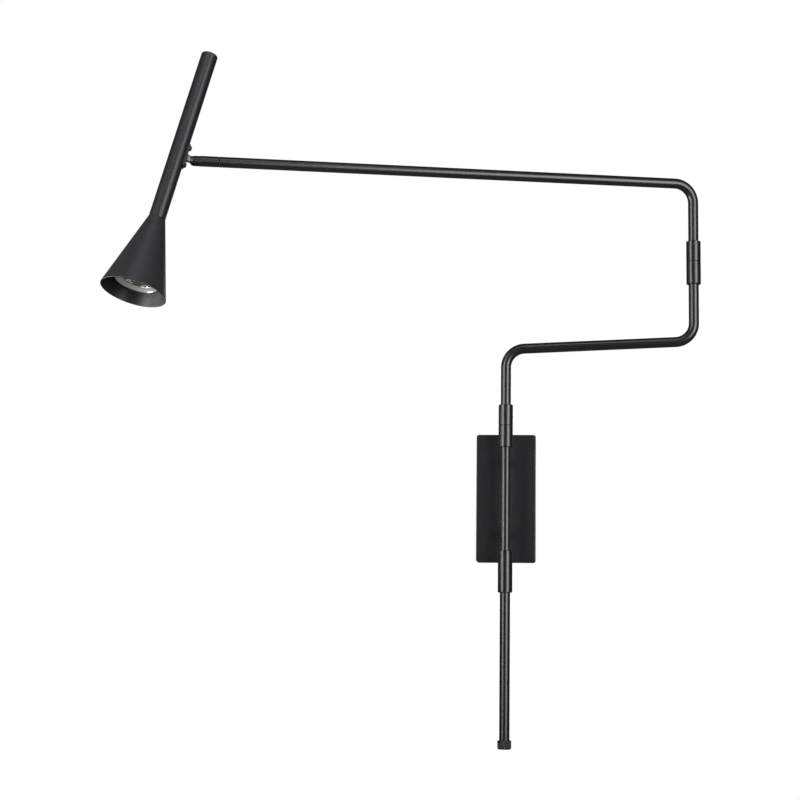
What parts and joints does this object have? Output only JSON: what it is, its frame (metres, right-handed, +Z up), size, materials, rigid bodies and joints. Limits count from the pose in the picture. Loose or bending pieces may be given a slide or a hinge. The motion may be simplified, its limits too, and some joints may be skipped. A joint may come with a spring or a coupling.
{
  "type": "swing arm wall sconce",
  "caption": "Black swing arm wall lamp: wall plate with a vertical stem, two bent tube arms that swing, and a tilting tube head with a cone shade.",
  "frame": {"origin": "centre of the wall plate on the wall plane, which is the middle of the wall bracket's two screw slots", "axes": "+X to the right seen from the room, +Y into the wall, +Z up; the room is towards -Y"},
  "size_m": [0.6681, 0.3128, 0.7878],
  "materials": {
    "satin_black": "satin powder coat",
    "matte_black": "matt powder coat",
    "fine_texture_black": "fine texture powder coat",
    "knurled_black": "satin, straight knurl",
    "black_screws": "black oxide",
    "nickel": "satin nickel plate",
    "zinc_steel": "zinc plate",
    "spring_steel": "oiled spring steel",
    "brass": "turned",
    "white_nylon": "natural nylon",
    "black_plastic": "moulded",
    "black_rubber": "soft",
    "cable_sheath": "flexible sheath",
    "white_ceramic": "glazed steatite",
    "lamp_shell": "coated reflector lamp",
    "lamp_rim": "bright rim",
    "lens_glass": "prismatic lens"
  },
  "bodies": {
    "wall_unit": {"wall_bracket": "zinc_steel", "cable_grommet": "black_rubber", "earth_screw": "brass", "terminal_block": "white_nylon", "terminal_screws": "brass", "wall_canopy": "matte_black", "canopy_screws": "black_screws", "stem_posts": "satin_black", "post_nuts": "zinc_steel", "stem_tube": "satin_black", "stem_grub_screw": "nickel", "lower_collar": "satin_black", "drop_tube": "satin_black", "switch_body": "black_plastic", "shoulder_collar_lower": "satin_black", "shoulder_pivot": "zinc_steel", "shoulder_thrust_washer": "black_plastic", "shoulder_retaining_ring": "spring_steel", "feed_cable": "cable_sheath", "switch_cable": "cable_sheath"},
    "knob": {"switch_knob": "knurled_black", "switch_spindle": "zinc_steel"},
    "lower_arm": {"shoulder_collar_upper": "satin_black", "shoulder_bush": "brass", "shoulder_friction_washer": "spring_steel", "shoulder_stop_screw": "black_screws", "lower_arm_tube": "satin_black", "lower_arm_cable": "cable_sheath", "elbow_collar_lower": "satin_black", "elbow_pivot": "zinc_steel", "elbow_thrust_washer": "black_plastic", "elbow_retaining_ring": "spring_steel"},
    "upper_arm": {"elbow_collar_upper": "satin_black", "elbow_bush": "brass", "elbow_friction_washer": "spring_steel", "elbow_stop_screw": "black_screws", "upper_arm_tube": "satin_black", "upper_arm_cable": "cable_sheath", "arm_end_bush": "satin_black", "swivel_retaining_ring": "spring_steel"},
    "arm_end": {"swivel_ferrule": "satin_black", "swivel_friction_washer": "spring_steel", "swivel_stop_screw": "black_screws", "arm_end_fork": "satin_black", "tilt_pivot_screws": "black_screws"},
    "head": {"knuckle": "nickel", "head_saddle": "matte_black", "saddle_screws": "black_screws", "head_tube": "matte_black", "head_cap": "matte_black", "shade": "fine_texture_black", "shade_grub_screw": "black_screws", "holder_bracket": "zinc_steel", "lamp_holder": "white_ceramic", "holder_screws": "zinc_steel", "lamp_body": "lamp_shell", "lamp_pins": "brass", "lamp_bezel": "lamp_rim", "lamp_lens": "lens_glass", "head_lead": "cable_sheath"}
  },
  "joints": [
    {"name": "shoulder_swing", "type": "hinge", "parent": "wall_unit", "child": "lower_arm", "pos_m": [0, -0.046, 0.0842], "axis": [0, 0, 1], "range_deg": [-183, 4]},
    {"name": "elbow_swing", "type": "hinge", "parent": "lower_arm", "child": "upper_arm", "pos_m": [0.2215, -0.046, 0.2806], "axis": [0, 0, 1], "range_deg": [-8, 312]},
    {"name": "arm_end_roll", "type": "hinge", "parent": "upper_arm", "child": "arm_end", "pos_m": [-0.32524, -0.22365, 0.36206], "axis": [-0.9508, -0.3089, -0.0209], "range_deg": [-160, 140]},
    {"name": "head_tilt", "type": "hinge", "parent": "arm_end", "child": "head", "pos_m": [-0.34521, -0.23013, 0.36162], "axis": [0.3012, -0.9386, 0.1685], "range_deg": [-42.6, 77.4]},
    {"name": "switch_turn", "type": "hinge", "parent": "wall_unit", "child": "knob", "pos_m": [0, -0.046, -0.2886], "axis": [0, 0, 1], "range_deg": [0, 300]}
  ]
}
